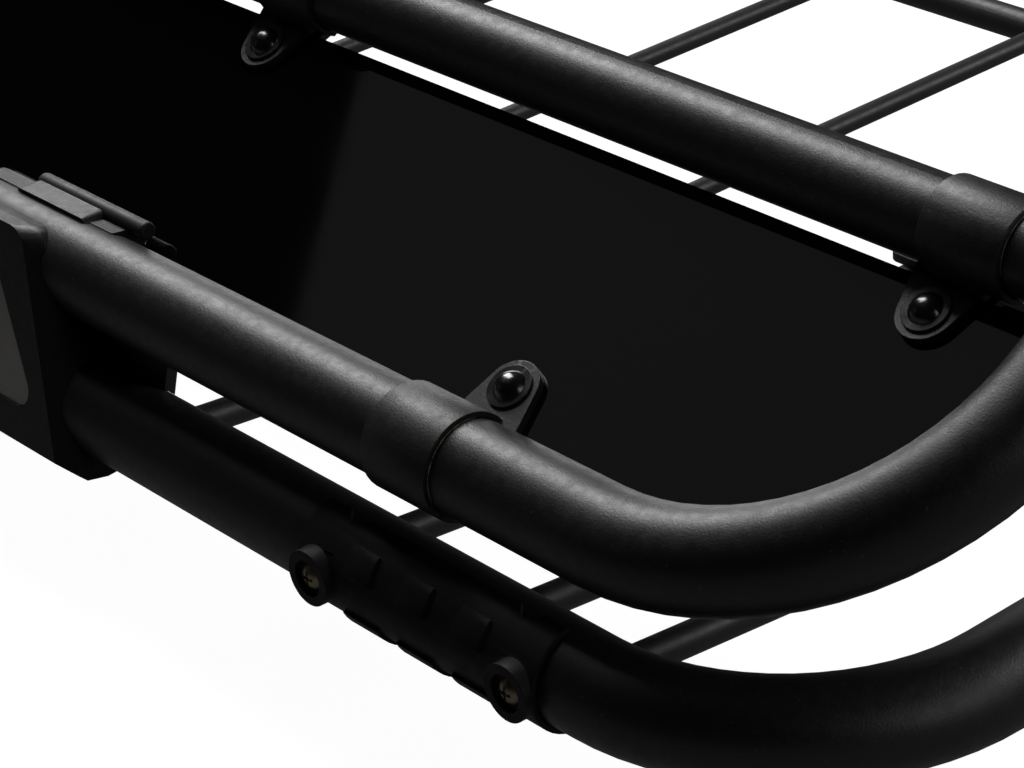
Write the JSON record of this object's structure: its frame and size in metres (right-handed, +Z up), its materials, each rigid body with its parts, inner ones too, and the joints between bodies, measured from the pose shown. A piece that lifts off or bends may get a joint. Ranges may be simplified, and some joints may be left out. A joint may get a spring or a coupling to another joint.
{
  "type": "roof cargo basket",
  "caption": "Tubular roof cargo basket with a rod floor, a sloping gloss wind fairing clamped to its nose and hand-tightened crossbar clamps.",
  "frame": {"origin": "centre of the footprint, on the plane that the four clamp claws stand on", "axes": "+Z up, +Y from the nose to the rear, +X across the vehicle to the basket's right seen from the rear"},
  "size_m": [1.3194, 1.4599, 0.2439],
  "materials": {
    "rail_black": "satin black powder coat with a fine grain",
    "rod_black": "satin black powder coat on thin rods and tubes",
    "bracket_black": "satin black powder coat on cast aluminium",
    "clamp_black": "satin black powder coat on pressed clamp halves",
    "fairing_black": "polished gloss black acrylic sheet",
    "plaque_grey": "brushed grey aluminium, fine cross texture",
    "cover_black": "moulded satin black nylon",
    "screw_black": "gloss black oxide fasteners",
    "dome_black": "polished black dome heads",
    "zinc_steel": "zinc plated threaded steel",
    "pad_rubber": "matt black rubber",
    "knob_plastic": "matt black moulded knob"
  },
  "bodies": {
    "basket": {"lower_nose_rail": "rail_black", "lower_side_rails": "rail_black", "lower_rear_rail": "rail_black", "upper_nose_hoop": "rail_black", "upper_side_rails": "rail_black", "upper_rear_rail": "rail_black", "splice_sleeves": "zinc_steel", "splice_screws": "screw_black", "side_posts": "rod_black", "rear_posts": "rod_black", "floor_rods": "rod_black", "floor_cross_tubes": "rod_black", "front_floor_tube": "rod_black", "front_struts": "rod_black", "top_front_tube": "rail_black", "fairing_panel": "fairing_black", "nose_clamp_uppers": "clamp_black", "nose_clamp_lowers": "clamp_black", "top_clamp_uppers": "clamp_black", "top_clamp_lowers": "clamp_black", "fairing_bolts": "dome_black", "fairing_washers": "screw_black", "fairing_nuts": "screw_black", "nameplate_carrier": "bracket_black", "nameplate_strap": "bracket_black", "nameplate": "plaque_grey", "strap_pins": "screw_black", "strap_bolts": "screw_black", "cover_plates": "cover_black", "cover_screws": "screw_black", "mount_saddles": "bracket_black", "mount_claws": "bracket_black", "saddle_pads": "pad_rubber", "claw_pads": "pad_rubber", "grip_plates": "clamp_black", "mount_washers": "zinc_steel", "knob_studs": "zinc_steel", "nut_studs": "zinc_steel", "mount_nuts": "zinc_steel"},
    "knob_left_front_body": {"knob_left_front": "knob_plastic"},
    "knob_left_rear_body": {"knob_left_rear": "knob_plastic"},
    "knob_right_front_body": {"knob_right_front": "knob_plastic"},
    "knob_right_rear_body": {"knob_right_rear": "knob_plastic"}
  },
  "joints": [
    {"name": "knob_left_front_turn", "type": "hinge", "parent": "basket", "child": "knob_left_front_body", "pos_m": [-0.45675, -0.272, 0.08136], "axis": [0, 0, 1], "continuous": true},
    {"name": "knob_left_rear_turn", "type": "hinge", "parent": "basket", "child": "knob_left_rear_body", "pos_m": [-0.45675, 0.272, 0.08136], "axis": [0, 0, 1], "continuous": true},
    {"name": "knob_right_front_turn", "type": "hinge", "parent": "basket", "child": "knob_right_front_body", "pos_m": [0.45675, -0.272, 0.08136], "axis": [0, 0, 1], "continuous": true},
    {"name": "knob_right_rear_turn", "type": "hinge", "parent": "basket", "child": "knob_right_rear_body", "pos_m": [0.45675, 0.272, 0.08136], "axis": [0, 0, 1], "continuous": true}
  ]
}
